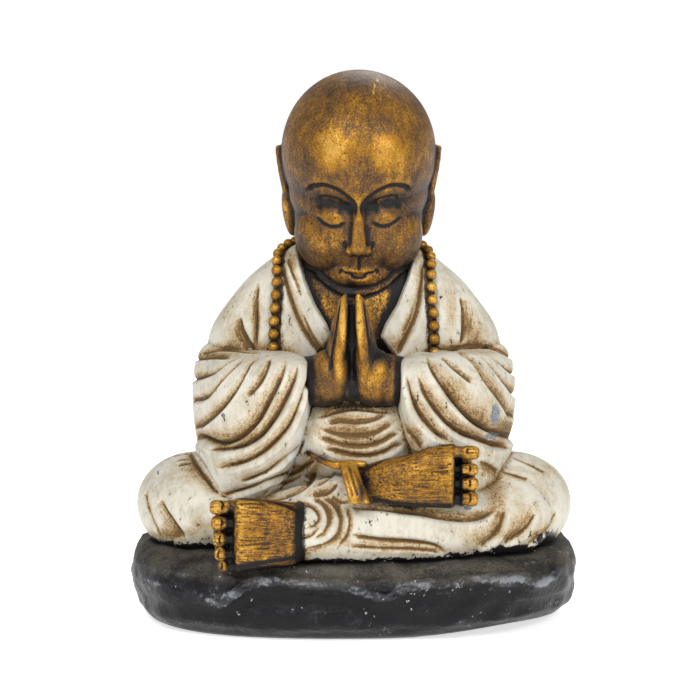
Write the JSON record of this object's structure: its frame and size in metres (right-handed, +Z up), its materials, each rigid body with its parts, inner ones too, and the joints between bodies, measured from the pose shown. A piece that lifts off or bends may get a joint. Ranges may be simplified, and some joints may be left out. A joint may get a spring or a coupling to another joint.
{
  "type": "monk figurine",
  "caption": "Painted cast figurine of a bald monk in a loose robe, seated cross-legged on a low rock with palms pressed together and a long string of prayer beads.",
  "frame": {"origin": "middle of the rock's underside, on the surface that the figurine stands on", "axes": "+Z up, -Y the way that the figure faces, +X towards the figure's left hand"},
  "size_m": [0.2486, 0.1826, 0.3008],
  "materials": {
    "painted_cast": "hand painted, satin",
    "cream_robe": "off-white paint with a brown wash in the folds",
    "gold_skin": "antique gold rubbed over black paint",
    "black_rock": "worn black, semi-gloss"
  },
  "bodies": {
    "root": {"monk_figurine": "painted_cast"}
  },
  "joints": []
}
